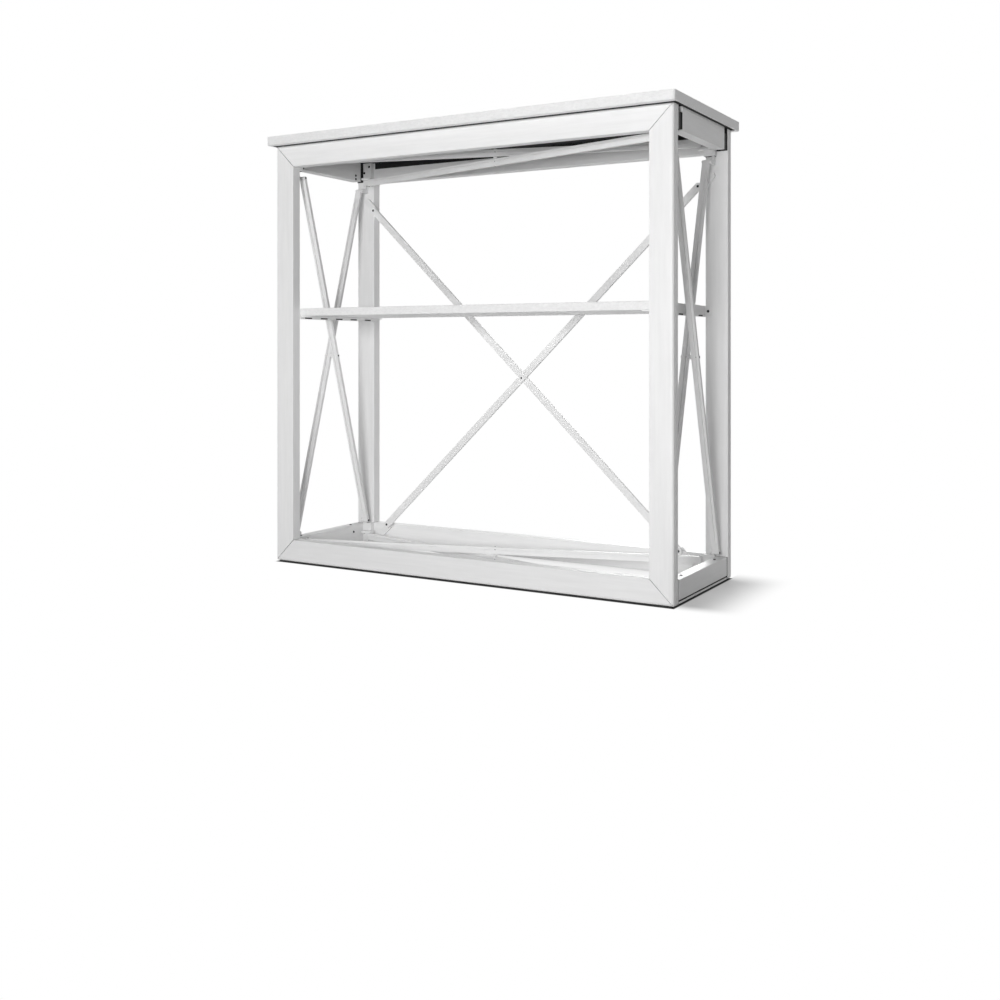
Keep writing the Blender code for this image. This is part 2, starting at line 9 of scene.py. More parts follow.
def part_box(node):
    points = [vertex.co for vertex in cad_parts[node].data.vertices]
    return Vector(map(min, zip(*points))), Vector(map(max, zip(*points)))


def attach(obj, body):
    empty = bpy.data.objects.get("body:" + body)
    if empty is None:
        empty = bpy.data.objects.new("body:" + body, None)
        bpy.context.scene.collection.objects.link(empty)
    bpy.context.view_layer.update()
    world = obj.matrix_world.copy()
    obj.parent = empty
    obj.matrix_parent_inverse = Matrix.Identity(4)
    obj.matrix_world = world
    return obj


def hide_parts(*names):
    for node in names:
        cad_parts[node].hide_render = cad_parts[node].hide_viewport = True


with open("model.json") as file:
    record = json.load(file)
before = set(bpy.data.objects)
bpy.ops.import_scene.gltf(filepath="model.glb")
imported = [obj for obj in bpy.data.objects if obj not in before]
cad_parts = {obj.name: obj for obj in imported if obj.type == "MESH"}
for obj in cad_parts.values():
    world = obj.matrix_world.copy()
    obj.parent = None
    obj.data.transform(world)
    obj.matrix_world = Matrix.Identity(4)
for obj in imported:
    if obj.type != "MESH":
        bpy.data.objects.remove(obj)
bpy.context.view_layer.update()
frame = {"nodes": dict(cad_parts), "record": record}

nodes = frame["nodes"]
record = frame["record"]
scene = bpy.context.scene
nodeBody = {node: body for body, members in record["behaviour"]["bodies"].items() for node in members}
print("frame loaded:", len(nodes), "nodes")


def linear(hexColour):  # sRGB hex to linear RGBA
    parts = [int(hexColour[i:i + 2], 16) / 255 for i in (1, 3, 5)]
    return [c / 12.92 if c <= 0.04045 else ((c + 0.055) / 1.055) ** 2.4 for c in parts] + [1.0]


def addNode(tree, kind, links=None, values=None, **settings):
    node = tree.nodes.new(kind)
    for key, value in settings.items():
        setattr(node, key, value)
    for socket, value in (values or {}).items():
        node.inputs[socket].default_value = value
    for socket, source in (links or {}).items():
        tree.links.new(source, node.inputs[socket])
    return node


mixSockets = {"factor": 0, "first": 6, "second": 7, "result": 2}  # of a mix node set to colour


# each colour is a hex string or another node's output
def mixColours(tree, factor, first, second):
    mix = addNode(tree, "ShaderNodeMix", {mixSockets["factor"]: factor}, data_type="RGBA")
    for name, colour in (("first", first), ("second", second)):
        socket = mix.inputs[mixSockets[name]]
        if isinstance(colour, str):
            socket.default_value = linear(colour)
        else:
            tree.links.new(colour, socket)
    return mix.outputs[mixSockets["result"]]


def emptyMaterial(name):
    made = bpy.data.materials.new(name)
    made.use_nodes = True
    made.node_tree.nodes.clear()
    return made, made.node_tree


# A finish is a broad tint, drawn out along the way the piece was made, under a fine surface grain.
# tintMm gives the size of the tint's patches along X, Y and Z, grainMm the size of the grain.
finishing = {
    "tint": {"Scale": 1.0, "Detail": 3.0, "Roughness": 0.6},
    "grain": {"Detail": 2.0, "Roughness": 0.5},
    "contrast": {"From Min": 0.3, "From Max": 0.7},
}


def makeFinish(name, look):
    made, tree = emptyMaterial(name)
    place = addNode(tree, "ShaderNodeTexCoord")
    drawn = addNode(
        tree, "ShaderNodeMapping", {"Vector": place.outputs["Object"]},
        {"Scale": [1000 / size for size in look["tintMm"]]},
    )
    tint = addNode(tree, "ShaderNodeTexNoise", {"Vector": drawn.outputs[0]}, finishing["tint"])
    spread = addNode(tree, "ShaderNodeMapRange", {"Value": tint.outputs["Fac"]}, finishing["contrast"])
    grain = addNode(
        tree, "ShaderNodeTexNoise", {"Vector": place.outputs["Object"]},
        finishing["grain"] | {"Scale": 1000 / look["grainMm"]},
    )
    bump = addNode(
        tree, "ShaderNodeBump", {"Height": grain.outputs["Fac"]},
        {"Strength": look["bump"], "Distance": look["grainMm"] / 1000},
    )
    smooth, dry = look["rough"]
    gloss = addNode(
        tree, "ShaderNodeMapRange", {"Value": grain.outputs["Fac"]},
        finishing["contrast"] | {"To Min": smooth, "To Max": dry},
    )
    shader = addNode(
        tree, "ShaderNodeBsdfPrincipled",
        {
            "Base Color": mixColours(tree, spread.outputs[0], look["dull"], look["pale"]),
            "Roughness": gloss.outputs[0],
            "Normal": bump.outputs[0],
        },
        {"Metallic": look.get("metallic", 0.0)},
    )
    addNode(tree, "ShaderNodeOutputMaterial", {"Surface": shader.outputs[0]})
    return made


# powder coat on extruded aluminium: satin white, orange peel, faint lines along the extrusion
# real peel is about 0.6 mm, drawn coarser so that it shows
powderCoat = {"pale": "#F3F3F3", "dull": "#EDEDED", "grainMm": 2.2, "bump": 0.012, "rough": (0.36, 0.48)}
coatUpright = makeFinish("powder_coat_upright", powderCoat | {"tintMm": (9, 9, 130)})
coatLevel = makeFinish("powder_coat_level", powderCoat | {"tintMm": (130, 9, 9)})
coatDeep = makeFinish("powder_coat_deep", powderCoat | {"tintMm": (9, 70, 9)})
coatBar = makeFinish("powder_coat_bar", powderCoat | {"tintMm": (40, 40, 40)})
# moulded ABS: plain white with a fine spark-eroded grain, a little duller than the coat
absPlastic = makeFinish(
    "moulded_abs",
    {
        "pale": "#F0F0F0", "dull": "#E8E8E8", "tintMm": (18, 18, 18), "grainMm": 1.1, "bump": 0.02,
        "rough": (0.38, 0.55),
    },
)
# melamine-faced board: white, finely mottled
melamine = makeFinish(
    "melamine_board",
    {
        "pale": "#F4F4F4", "dull": "#EAEAEA", "tintMm": (7, 4, 4), "grainMm": 1.6, "bump": 0.015,
        "rough": (0.34, 0.50),
    },
)
# painted shade for the underside of the top: near black, taking the light dead
paintedShadeUnderTop = makeFinish(
    "painted_shade_under_top",
    {
        "pale": "#2E2E2E", "dull": "#1E1E1E", "tintMm": (60, 25, 25), "grainMm": 1.5, "bump": 0.02,
        "rough": (0.75, 0.90),
    },
)
# extruded aluminium as it left the mill: drawn lines, dull shine
millAluminium = makeFinish(
    "mill_aluminium",
    {
        "pale": "#D2D4D6", "dull": "#B9BBBE", "tintMm": (1.2, 60, 60), "grainMm": 0.8, "bump": 0.01,
        "rough": (0.30, 0.45), "metallic": 1.0,
    },
)
# black oxide on steel: near black with a dry sheen
blackSteel = makeFinish(
    "black_oxide_steel",
    {
        "pale": "#33343A", "dull": "#1C1D20", "tintMm": (3, 3, 3), "grainMm": 0.6, "bump": 0.01,
        "rough": (0.35, 0.50), "metallic": 0.6,
    },
)
# painted shade: a dense, matt near black, laid in gaps and slots where shade falls
paintedShadeBlack = makeFinish(
    "painted_shade_black",
    {
        "pale": "#1B1B1C", "dull": "#111112", "tintMm": (9, 9, 9), "grainMm": 0.8, "bump": 0.015,
        "rough": (0.50, 0.65),
    },
)
# rubber pad: matt, slightly dusty
rubber = makeFinish(
    "pad_rubber",
    {
        "pale": "#2C2C2C", "dull": "#1D1D1D", "tintMm": (8, 8, 8), "grainMm": 0.9, "bump": 0.03,
        "rough": (0.75, 0.90),
    },
)
print("finishes made")


def meshFrom(work, name):
    mesh = bpy.data.meshes.new(name)
    work.to_mesh(mesh)
    work.free()
    return mesh


def looseObject(name, data):
    made = bpy.data.objects.new(name, data)
    scene.collection.objects.link(made)
    return made


def evaluated(holder):
    graph = bpy.context.evaluated_depsgraph_get()
    return bpy.data.meshes.new_from_object(holder.evaluated_get(graph))


# the coating and the moulds leave no sharp edge; edges that turn by more than the angle are eased
easing = {
    "profileMm": 0.6, "railMm": 0.5, "sheetMm": 0.25, "barMm": 0.25, "mouldedMm": 0.6,
    "boardMm": 0.5, "padMm": 0.4, "stripMm": 0.4,
    "angle": 30, "blockAngle": 50, "barAngle": 60,
    "segments": 2, "mergeM": 0.00001, "flatAngle": 1, "faceWeight": 100,
}


# a node's mesh, reshaped or grooved where asked, with its edges eased, in the node's place
def easedCopy(node, widthMm, material, angle=easing["angle"], cutters=(), reshape=None):
    work = bmesh.new()
    work.from_mesh(nodes[node].data)
    bmesh.ops.remove_doubles(work, verts=work.verts, dist=easing["mergeM"])
    flat = math.radians(easing["flatAngle"])
    bmesh.ops.dissolve_limit(work, angle_limit=flat, verts=work.verts, edges=work.edges)
    if reshape:
        reshape(work)
    piece = looseObject(node + "_finish", meshFrom(work, node + "_finish"))
    piece.data.shade_smooth()
    tools = [looseObject("cutter", mesh) for mesh in cutters]
    for tool in tools:
        cut = piece.modifiers.new("groove", "BOOLEAN")
        cut.operation = "DIFFERENCE"
        cut.object = tool
    edge = piece.modifiers.new("eased", "BEVEL")
    edge.width = widthMm / 1000
    edge.segments = easing["segments"]
    edge.limit_method = "ANGLE"
    edge.angle_limit = math.radians(angle)
    weigh = piece.modifiers.new("flat faces stay flat", "WEIGHTED_NORMAL")
    weigh.keep_sharp = True
    weigh.weight = easing["faceWeight"]
    made = evaluated(piece)
    piece.modifiers.clear()
    for tool in tools:
        bpy.data.objects.remove(tool)
    piece.data = made
    made.materials.clear()
    made.materials.append(material)
    for face in made.polygons:
        face.material_index = 0
    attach(piece, nodeBody[node])
    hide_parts(node)
    return piece


# second material on the faces that a test picks
def repaint(piece, material, test):
    piece.data.materials.append(material)
    for face in piece.data.polygons:
        if test(face.center, face.normal):
            face.material_index = len(piece.data.materials) - 1


mitre = {"openMm": 0.6, "middle": {"x": 0.0, "z": 0.4925}}  # saw cuts stand a little open


def openMitre(axis):
    def reshape(work):
        for vertex in work.verts:
            along = getattr(vertex.co, axis)
            inward = math.copysign(mitre["openMm"] / 1000, mitre["middle"][axis] - along)
            setattr(vertex.co, axis, along + inward)
    return reshape


# side rails stop short of the frames; the top ones are closed on their outside, the bottom ones have their
# outer slot painted near black as painted shade
rails = {
    "backMm": {"top": 8.0, "bottom": 2.5}, "halfM": 0.1, "outM": 0.4999, "slotM": 0.4935, "lipM": 0.0006,
    "slotZ": (0.005, 0.013),
}


def pullBack(level):
    def reshape(work):
        for vertex in work.verts:
            if abs(vertex.co.y) > rails["halfM"]:
                vertex.co.y -= math.copysign(rails["backMm"][level] / 1000, vertex.co.y)
            if level == "top" and rails["slotM"] < abs(vertex.co.x) < rails["outM"]:
                vertex.co.x = math.copysign(rails["outM"], vertex.co.x)
    return reshape


# faces in the outer slot of a bottom side rail, which take painted shade
def inPaintedSlotShade(at, normal):
    low, high = rails["slotZ"]
    return low < at.z < high and rails["slotM"] < abs(at.x) < rails["outM"] - rails["lipM"]


# painted shade as near-black boxes: one inside each shelf support, seen in its slots, and one along the
# back rail
shadeStrips = {
    "left_slot_painted_shade": {"at": (-0.448, 0.0, 0.57575), "sizeMm": (1.2, 270, 4.0)},
    "right_slot_painted_shade": {"at": (0.448, 0.0, 0.57575), "sizeMm": (1.2, 270, 4.0)},
    "back_rail_painted_shade": {"at": (0.0, 0.1464, 0.9740), "sizeMm": (890, 1.2, 15.0)},
}


def paintedShadeStrip(name, look):
    work = bmesh.new()
    bmesh.ops.create_cube(work, size=1)
    grown = Matrix.Diagonal([size / 1000 for size in look["sizeMm"]] + [1])
    work.transform(Matrix.Translation(look["at"]) @ grown)
    bmesh.ops.bevel(
        work, geom=work.edges[:], offset=easing["stripMm"] / 1000, segments=easing["segments"],
        affect="EDGES", clamp_overlap=True,
    )
    piece = looseObject(name, meshFrom(work, name))
    piece.data.materials.append(paintedShadeBlack)
    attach(piece, "frame")


for face in ("front", "back"):
    for side in ("left", "right"):
        easedCopy(f"{face}_{side}_post", easing["profileMm"], coatUpright, reshape=openMitre("z"))
        easedCopy(f"{face}_{side}_foot", easing["padMm"], rubber)
    for level in ("top", "bottom"):
        easedCopy(f"{face}_{level}_rail", easing["profileMm"], coatLevel, reshape=openMitre("x"))
for side in ("left", "right"):
    for level in ("top", "bottom"):
        rail = easedCopy(f"{side}_{level}_rail", easing["railMm"], coatDeep, reshape=pullBack(level))
        if level == "bottom":
            repaint(rail, paintedShadeBlack, inPaintedSlotShade)
    easedCopy(f"{side}_shelf_support", easing["sheetMm"], coatDeep)
for name, look in shadeStrips.items():
    paintedShadeStrip(name, look)
print("frames, side rails and supports eased")

# corner hubs: white mouldings with a tongue in each side rail; the tongue, the hub faces that face the rail
# and the underside of each top hub's block are painted near black as painted shade
hubs = {
    "tongueOutM": 0.4757, "flangeM": 0.1440, "tongueHigh": 0.934, "tongueLow": 0.0515, "inward": 0.05,
    "blockUnderZ": (0.915, 0.9245), "down": 0.6,
}


# the tongue and the hub faces that face the rail, which take painted shade
def inPaintedGapShade(at, normal):
    level = at.z > hubs["tongueHigh"] or at.z < hubs["tongueLow"]
    inward = abs(at.y) < hubs["flangeM"] or normal.y * at.y < -hubs["inward"]
    return level and inward and abs(at.x) > hubs["tongueOutM"]


def underPaintedHubShade(at, normal):  # painted shade on the downward faces under a top hub's block
    low, high = hubs["blockUnderZ"]
    return normal.z < -hubs["down"] and low < at.z < high


# every hub face that takes painted shade
def isPaintedHubShade(at, normal):
    return inPaintedGapShade(at, normal) or underPaintedHubShade(at, normal)


for node in sorted(nodes):
    if node.endswith("_hub"):
        repaint(easedCopy(node, easing["mouldedMm"], absPlastic, easing["blockAngle"]), paintedShadeBlack, isPaintedHubShade)
    elif node.endswith("_bracket"):
        easedCopy(node, easing["mouldedMm"], absPlastic, easing["blockAngle"])
    elif node.endswith("_corner_key"):
        nodes[node].data.materials.clear()
        nodes[node].data.materials.append(millAluminium)
print("hubs and brackets eased")

# boards: tabletop with painted shade on its underside inside a white border, and the shelf
boards = {"paintedShadeHalf": (0.5065, 0.1765), "down": 0.9}


def cutBorder(work):
    for axis, reach in enumerate(boards["paintedShadeHalf"]):
        for side in (-1, 1):
            across = Vector((0, 0, 0))
            across[axis] = side
            everything = work.verts[:] + work.edges[:] + work.faces[:]
            bmesh.ops.bisect_plane(work, geom=everything, plane_co=across * reach, plane_no=across)


# the downward faces inside the border, which take the painted shade
def takesPaintedTopShade(at, normal):
    halfX, halfY = boards["paintedShadeHalf"]
    return normal.z < -boards["down"] and abs(at.x) < halfX and abs(at.y) < halfY


tabletop = easedCopy("tabletop", easing["boardMm"], melamine, easing["blockAngle"], reshape=cutBorder)
repaint(tabletop, paintedShadeUnderTop, takesPaintedTopShade)
easedCopy("shelf", easing["boardMm"], melamine, easing["blockAngle"])
print("boards eased")

# brace bars: plain flat bars at the back; the scissor bars stand on edge, with an extruded groove along
# both broad faces, nearer one edge
bars = {
    "broadMm": 16, "narrowMm": 7.5, "grooveMm": 1.5, "depthMm": 2.2, "fromEdgeMm": 5.6, "shortMm": 26,
}


def barGrooves(node):
    low, high = (Vector(corner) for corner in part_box(node))
    middle = (low + high) / 2
    size = high - low
    axial = min(range(3), key=lambda axis: size[axis])
    u, v = [axis for axis in range(3) if axis != axial]
    narrow = bars["narrowMm"] / 1000
    offsets = [vertex.co - middle for vertex in nodes[node].data.vertices]
    slope = sum(offset[u] * offset[v] for offset in offsets)
    along = Vector((0, 0, 0))
    along[u] = size[u] - narrow
    along[v] = math.copysign(size[v] - narrow, slope)
    length = along.length - 2 * bars["shortMm"] / 1000
    along.normalize()
    outward = Vector((0, 0, 0))
    outward[axial] = 1 if axial == 2 or middle[axial] > 0 else -1
    across = outward.cross(along)
    lift = (bars["broadMm"] / 2 - bars["fromEdgeMm"]) / 1000
    deep = 2 * bars["depthMm"] / 1000  # half of the cutter stands outside the bar
    turn = Matrix((along * length, across * deep, outward * bars["grooveMm"] / 1000))
    cutters = []
    for side in (-1, 1):
        work = bmesh.new()
        bmesh.ops.create_cube(work, size=1)
        at = middle + outward * lift + across * side * narrow / 2
        work.transform(Matrix.Translation(at) @ turn.transposed().to_4x4())
        bmesh.ops.recalc_face_normals(work, faces=work.faces)
        cutters.append(meshFrom(work, "groove"))
    return cutters


for node in sorted(nodes):
    if node.endswith("_bar"):
        grooves = () if node.startswith("back_") else barGrooves(node)
        easedCopy(node, easing["barMm"], coatBar, easing["barAngle"], grooves)
print("brace bars grooved")

# pivot pins: domed white heads, each with a dark socket; a long pin has a collar between its bars
# radii and lengths in mm; the dome's points are counted in from the rim and down from the top
pins = {
    "head": 4.5, "headHigh": 1.2, "dome": [(1.0, 0.2), (0.3, 0.6), (0.0, 1.0)], "shank": 2.0,
    "collar": 5.0, "collaredFrom": 30, "socket": 2.3, "socketDeep": 0.9, "socketEdge": (0.4, 0.2),
    "insideSocket": 0.999, "steps": 32, "sharpAngle": 40, "mergeM": 0.000001,
}


def pinProfile(lengthMm):
    head, high, shank = pins["head"], pins["headHigh"], pins["shank"]
    socket, deep = pins["socket"], pins["socketDeep"]
    edgeWide, edgeDeep = pins["socketEdge"]
    half = [(0, deep), (socket, deep), (socket, edgeDeep), (socket + edgeWide, 0.0)]
    half += [(head - inward, down) for inward, down in pins["dome"]]
    half += [(head, high), (shank, high)]
    if lengthMm > pins["collaredFrom"]:
        start = (lengthMm - pins["collar"]) / 2
        half += [(shank, start), (head, start)]
    return half + [(radius, lengthMm - along) for radius, along in reversed(half)]


def turnedPin(node):
    low, high = (Vector(corner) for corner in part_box(node))
    size = high - low
    axis = max(range(3), key=lambda index: size[index])
    aim = Vector((0, 0, 0))
    aim[axis] = 1
    centre = (low + high) / 2
    work = bmesh.new()
    profile = pinProfile(size[axis] * 1000)
    points = [work.verts.new((radius / 1000, 0, along / 1000)) for radius, along in profile]
    lines = [work.edges.new(pair) for pair in zip(points, points[1:])]
    bmesh.ops.spin(
        work, geom=points + lines, cent=(0, 0, 0), axis=(0, 0, 1), angle=math.tau,
        steps=pins["steps"], use_merge=True,
    )
    bmesh.ops.remove_doubles(work, verts=work.verts, dist=pins["mergeM"])
    bmesh.ops.recalc_face_normals(work, faces=work.faces)
    start = centre - aim * size[axis] / 2
    work.transform(Matrix.Translation(start) @ aim.to_track_quat("Z", "Y").to_matrix().to_4x4())
    pin = looseObject(node + "_finish", meshFrom(work, node + "_finish"))
    pin.data.shade_smooth()
    pin.data.set_sharp_from_angle(angle=math.radians(pins["sharpAngle"]))
    pin.data.materials.append(coatBar)
    dark = pins["socket"] * pins["insideSocket"] / 1000
    repaint(pin, blackSteel, lambda at, normal: aim.cross(at - centre).length < dark)
    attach(pin, nodeBody[node])
    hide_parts(node)


for node in sorted(nodes):
    if node.endswith("_pivot_pin"):
        turnedPin(node)
print("pivot pins turned")


def newTree(name, sizes):
    tree = bpy.data.node_groups.new(name, "GeometryNodeTree")
    tree.interface.new_socket("Geometry", in_out="INPUT", socket_type="NodeSocketGeometry")
    for size in sizes:
        tree.interface.new_socket(size, in_out="INPUT", socket_type="NodeSocketFloat")
    tree.interface.new_socket("Finish", in_out="INPUT", socket_type="NodeSocketMaterial")
    tree.interface.new_socket("Geometry", in_out="OUTPUT", socket_type="NodeSocketGeometry")
    return tree, tree.nodes.new("NodeGroupInput")


# one shape stood on every point, along the point's own aim, then made real
def standOnPoints(tree, given, shape):
    aim = addNode(
        tree, "GeometryNodeInputNamedAttribute", values={"Name": "aim"}, data_type="FLOAT_VECTOR"
    )
    turn = addNode(tree, "GeometryNodeInputNamedAttribute", values={"Name": "turn"}, data_type="FLOAT")
    upright = addNode(tree, "FunctionNodeAlignRotationToVector", {"Vector": aim.outputs[0]}, axis="Z")
    spin = addNode(
        tree, "FunctionNodeAxisAngleToRotation", {"Angle": turn.outputs[0]}, {"Axis": (0, 0, 1)}
    )
    turned = addNode(
        tree, "FunctionNodeRotateRotation",
        {"Rotation": upright.outputs[0], "Rotate By": spin.outputs[0]}, rotation_space="LOCAL",
    )
    stood = addNode(
        tree, "GeometryNodeInstanceOnPoints",
        {"Points": given.outputs["Geometry"], "Instance": shape, "Rotation": turned.outputs[0]},
    )
    real = addNode(tree, "GeometryNodeRealizeInstances", {"Geometry": stood.outputs[0]})
    finished = addNode(
        tree, "GeometryNodeSetMaterial",
        {"Geometry": real.outputs[0], "Material": given.outputs["Finish"]},
    )
    addNode(tree, "NodeGroupOutput", {"Geometry": finished.outputs[0]})


fasteners = {"turnStep": 2.4, "sharpAngle": 30}  # every screw stops at its own angle


def standPieces(name, tree, spots, sizes, finish, body):
    points = bpy.data.meshes.new(name)
    points.from_pydata([at for at, aim in spots], [], [])
    points.attributes.new("aim", "FLOAT_VECTOR", "POINT")
    points.attributes.new("turn", "FLOAT", "POINT")
    for index, (at, aim) in enumerate(spots):
        points.attributes["aim"].data[index].vector = aim
        points.attributes["turn"].data[index].value = index * fasteners["turnStep"]
    piece = looseObject(name, points)
    modifier = piece.modifiers.new(name, "NODES")
    modifier.node_group = tree
    settings = sizes | {"Finish": finish}
    for item in tree.interface.items_tree:
        if item.in_out == "INPUT" and item.name in settings:
            modifier[item.identifier] = settings[item.name]
    made = evaluated(piece)
    piece.modifiers.clear()
    piece.data = made
    made.shade_smooth()
    made.set_sharp_from_angle(angle=math.radians(fasteners["sharpAngle"]))
    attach(piece, body)
    return piece


# socket screws: a low cone with a six-sided recess, where the frame is screwed together, in metres
screws = {
    "sizes": {"Head Radius": 0.0031, "Head Height": 0.0014, "Socket Radius": 0.0015},
    "shoulder": 0.72,
    "headSides": 20,
    "socketSides": 6,
    "hub": [(0.4712, 0.0250), (0.4560, 0.0100)],  # out from the middle, then in from base or top
    "hubFace": 0.1350,
    "rail": {"bottom": [(0.0950, 0.0317)], "top": [(0.1040, 0.0350), (0.1040, 0.0440)]},
    "railFace": 0.4750,
    "railCap": (0.4870, 0.0980, 0.0513),
    "tab": (0.4560, 0.1437, 0.5855),
    "levels": {"bottom": (0.003, 1), "top": (0.982, -1)},
}


def screwShape():
    tree, given = newTree("socket_screws", screws["sizes"])
    shoulder = addNode(
        tree, "ShaderNodeMath", {0: given.outputs["Head Radius"]}, {1: screws["shoulder"]},
        operation="MULTIPLY",
    )
    head = addNode(
        tree, "GeometryNodeMeshCone",
        {
            "Radius Bottom": given.outputs["Head Radius"], "Radius Top": shoulder.outputs[0],
            "Depth": given.outputs["Head Height"],
        },
        {"Vertices": screws["headSides"]},
    )
    recess = addNode(
        tree, "GeometryNodeMeshCylinder",
        {"Radius": given.outputs["Socket Radius"], "Depth": given.outputs["Head Height"]},
        {"Vertices": screws["socketSides"]},
    )
    lift = addNode(tree, "ShaderNodeCombineXYZ", {"Z": given.outputs["Head Height"]})
    raised = addNode(
        tree, "GeometryNodeTransform",
        {"Geometry": recess.outputs["Mesh"], "Translation": lift.outputs[0]},
    )
    drilled = addNode(
        tree, "GeometryNodeMeshBoolean",
        {"Mesh 1": head.outputs["Mesh"], "Mesh 2": raised.outputs[0]}, operation="DIFFERENCE",
    )
    standOnPoints(tree, given, drilled.outputs["Mesh"])
    return tree


spots = []
for sx in (-1, 1):
    for sy in (-1, 1):
        inward = Vector((0, -sy, 0))
        for level, (base, up) in screws["levels"].items():
            for x, rise in screws["hub"]:
                spots.append((Vector((sx * x, sy * screws["hubFace"], base + up * rise)), inward))
            for y, rise in screws["rail"][level]:
                at = Vector((sx * screws["railFace"], sy * y, base + up * rise))
                spots.append((at, Vector((-sx, 0, 0))))
        x, y, z = screws["railCap"]
        spots.append((Vector((sx * x, sy * y, z)), Vector((0, 0, 1))))
        x, y, z = screws["tab"]
        spots.append((Vector((sx * x, sy * y, z)), inward))
standPieces("frame_screws", screwShape(), spots, screws["sizes"], blackSteel, "frame")

# stud caps: a pressed ring round the stud, closed over its tip, on the studs that hold the bar ends
caps = {
    "sizes": {"Ring Radius": 0.0036, "Ring Height": 0.0006, "Tip Radius": 0.0023, "Tip Height": 0.0014},
    "slope": 0.8,
    "ringSides": 24,
    "tipSides": 16,
    "tipReach": 1.01,
    "sideEnd": (0.1245, {"bottom": 0.062, "top": 0.910}),
    "sideInner": 0.4506,
    "sideOuter": 0.4886,
    "levelEnd": (0.446, 0.122),
    "levelSwing": {"bottom": 0.0512, "top": 0.9198},
    "levelFixed": {"bottom": 0.0132, "top": 0.9578},
    "backEnds": {"top": (0.440, 0.858), "bottom": (0.392, 0.056)},
    "backRising": 0.1232,
    "backFalling": 0.1310,
}


def capShape():
    tree, given = newTree("stud_caps", caps["sizes"])
    slope = addNode(
        tree, "ShaderNodeMath", {0: given.outputs["Ring Radius"]}, {1: caps["slope"]},
        operation="MULTIPLY",
    )
    ring = addNode(
        tree, "GeometryNodeMeshCone",
        {
            "Radius Bottom": given.outputs["Ring Radius"], "Radius Top": slope.outputs[0],
            "Depth": given.outputs["Ring Height"],
        },
        {"Vertices": caps["ringSides"]},
    )
    tip = addNode(
        tree, "GeometryNodeMeshCone",
        {
            "Radius Bottom": given.outputs["Tip Radius"], "Radius Top": given.outputs["Tip Radius"],
            "Depth": given.outputs["Tip Height"],
        },
        {"Vertices": caps["tipSides"]},
    )
    both = addNode(
        tree, "GeometryNodeMeshBoolean", {"Mesh 2": ring.outputs["Mesh"]}, operation="UNION"
    )
    tree.links.new(tip.outputs["Mesh"], both.inputs["Mesh 2"])
    standOnPoints(tree, given, both.outputs["Mesh"])
    return tree


spots = []
for sx in (-1, 1):
    for level, up in (("bottom", 1), ("top", -1)):
        for sy in (-1, 1):
            inner = sx * sy * up < 0
            y, heights = caps["sideEnd"]
            x = caps["sideInner" if inner else "sideOuter"]
            aim = Vector((-sx if inner else sx, 0, 0))
            spots.append((Vector((sx * x, sy * y, heights[level])), aim))
            x, y = caps["levelEnd"]
            z = caps["levelFixed" if inner else "levelSwing"][level]
            spots.append((Vector((sx * x, sy * y, z)), Vector((0, 0, -up if inner else up))))
        x, z = caps["backEnds"][level]
        y = caps["backRising" if sx * up < 0 else "backFalling"]
        spots.append((Vector((sx * x, y, z)), Vector((0, -1, 0))))
studCaps = standPieces("stud_caps", capShape(), spots, caps["sizes"], absPlastic, "frame")


def onTip(at, normal):  # the steel end of the stud shows in its cap
    reach = caps["sizes"]["Tip Radius"] * caps["tipReach"]
    return any(aim.cross(at - place).length < reach for place, aim in spots)


repaint(studCaps, blackSteel, onTip)
print("screws and stud caps set")

# floor: white paper to the lamps; to the camera plain white, but with a painted shadow off the right end,
# painted dark contact shade under the front and right members and painted light inside the frame, each
# mixed with its real shading
floorLook = {
    "paper": "#F4F4F4",
    "paintedShadeColour": "#C4C4C4",
    "paintedContactShade": "#565656",
    "sizeM": 60.0,
    "halfM": (0.500, 0.172, 0.0),
    "edgeM": 0.003,
    "memberM": 0.025,
    "closedTo": (1, -1, 0),  # the right and front members close off the floor from the camera
    "insidePaintedWhite": 0.70,
    "paintedShadowM": {"side": (0.140, 0.015), "front": (-0.185, -0.125), "back": (0.240, 0.125)},
    "paintedShadowDeep": 0.70,
}


def furtherOut(tree, point):
    apart = addNode(tree, "ShaderNodeSeparateXYZ", {0: point.outputs[0]})
    most = addNode(
        tree, "ShaderNodeMath", {0: apart.outputs["X"], 1: apart.outputs["Y"]}, operation="MAXIMUM"
    )
    return apart, most.outputs[0]


# the painted shadow lies off the right end, and fades to the side, the front and the back
def paintedShadowArea(tree, ground, beyond):
    halfX, edge = floorLook["halfM"][0], floorLook["edgeM"]
    measures = {"side": beyond.outputs["X"], "front": ground.outputs["Y"], "back": ground.outputs["Y"]}
    shadow = addNode(
        tree, "ShaderNodeMapRange", {"Value": ground.outputs["X"]},
        {"From Min": halfX - edge, "From Max": halfX},
    )
    for name, (light, dark) in floorLook["paintedShadowM"].items():
        part = addNode(
            tree, "ShaderNodeMapRange", {"Value": measures[name]},
            {"From Min": light, "From Max": dark}, interpolation_type="SMOOTHSTEP",
        )
        shadow = addNode(
            tree, "ShaderNodeMath", {0: shadow.outputs[0], 1: part.outputs[0]}, operation="MULTIPLY"
        )
    return shadow.outputs[0]


